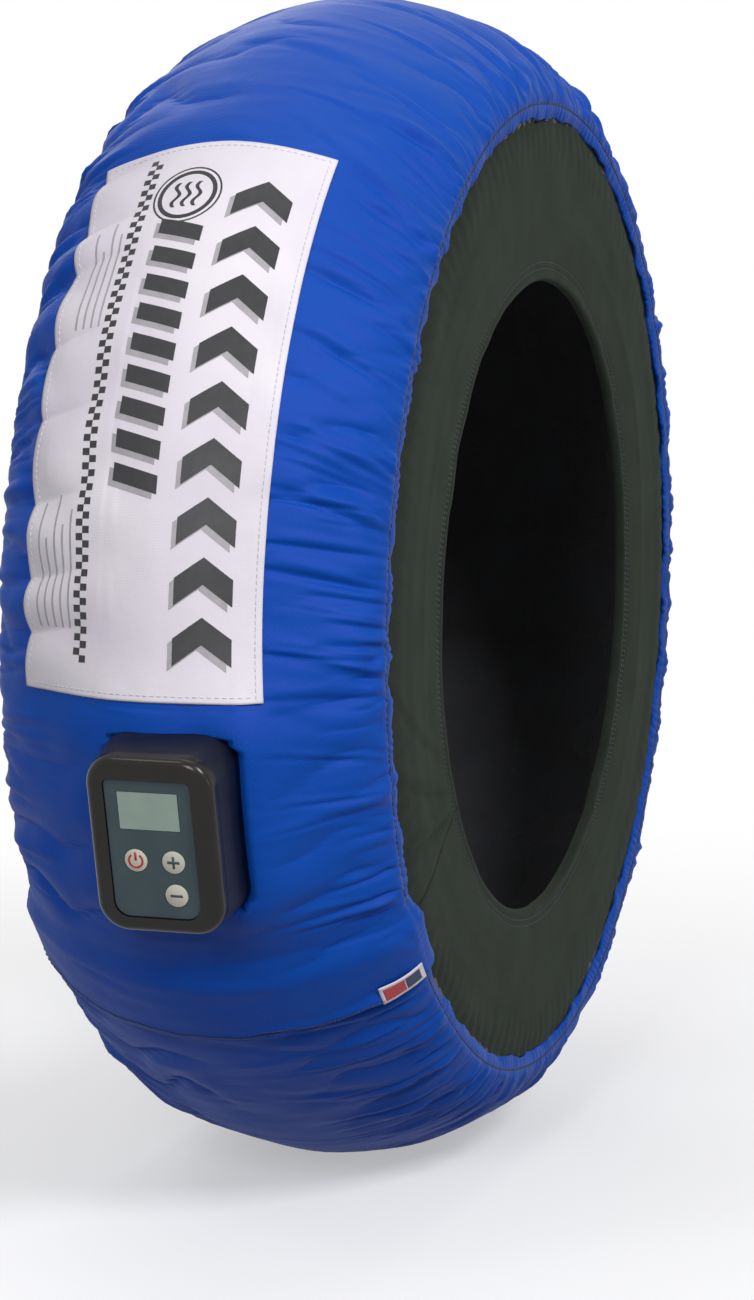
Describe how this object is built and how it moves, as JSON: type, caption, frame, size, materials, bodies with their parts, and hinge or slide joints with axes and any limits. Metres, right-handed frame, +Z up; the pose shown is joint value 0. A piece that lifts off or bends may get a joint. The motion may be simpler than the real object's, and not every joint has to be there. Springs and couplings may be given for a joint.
{
  "type": "motorcycle tyre warmer",
  "caption": "Heated wrap closed round a rear tyre: gathered nylon cover, stretch side walls, heating mat inside, lapped closure, and a control unit with display and keys.",
  "frame": {"origin": "on the wheel axle, in the middle plane of the ring", "axes": "+Y along the axle, towards the far side; the control unit and the front of the ring face -X; +Z up"},
  "size_m": [0.7066, 0.2214, 0.658],
  "materials": {
    "nylon": "satin woven nylon, royal blue",
    "wadding": "pale fibre wadding",
    "lining": "black heat-proof cloth",
    "neoprene": "matt neoprene with jersey face",
    "tape": "matt tape",
    "patch": "white printed cloth",
    "case": "satin black",
    "overlay": "slate polyester film",
    "key": "off-white, printed",
    "display": "grey-green, glossy",
    "board": "green circuit laminate",
    "switch": "black moulding",
    "relay": "blue moulding",
    "terminal": "green moulding",
    "rubber": "dark rubber",
    "steel": "bright steel",
    "copper": "copper ribbon",
    "wire": "red insulation"
  },
  "bodies": {
    "warmer": {"outer_cover": "nylon", "insulation_pad": "wadding", "heater_element": "copper", "heater_mat": "lining", "inner_liner": "lining", "near_side_wall": "neoprene", "far_side_wall": "neoprene", "near_hem_elastic": "tape", "far_hem_elastic": "tape", "hook_tape": "tape", "loop_tape": "tape", "label_patch": "patch", "seam_tag": "patch", "rear_case": "case", "front_case": "case", "case_seal": "rubber", "backing_plate": "steel", "case_screw_1": "steel", "case_screw_2": "steel", "case_screw_3": "steel", "case_screw_4": "steel", "keypad_overlay": "overlay", "display_window": "display", "display_module": "display", "circuit_board": "board", "power_key_switch": "switch", "plus_key_switch": "switch", "minus_key_switch": "switch", "supply_module": "switch", "power_relay": "relay", "terminal_block": "terminal", "power_inlet": "switch", "lead_grommet": "rubber", "probe_lead": "wire", "heater_lead": "wire", "cutoff_lead": "wire", "temperature_probe": "steel", "thermal_cutoff": "steel"},
    "power_button": {"power_key": "key"},
    "plus_button": {"plus_key": "key"},
    "minus_button": {"minus_key": "key"}
  },
  "joints": [
    {"name": "power_press", "type": "slide", "parent": "warmer", "child": "power_button", "axis": [0.9711, 0, 0.2385], "range_m": [0, 0.0005], "stiffness_N_per_m": 300, "springref_m": -0.001},
    {"name": "plus_press", "type": "slide", "parent": "warmer", "child": "plus_button", "axis": [0.9711, 0, 0.2385], "range_m": [0, 0.0005], "stiffness_N_per_m": 300, "springref_m": -0.001},
    {"name": "minus_press", "type": "slide", "parent": "warmer", "child": "minus_button", "axis": [0.9711, 0, 0.2385], "range_m": [0, 0.0005], "stiffness_N_per_m": 300, "springref_m": -0.001}
  ]
}
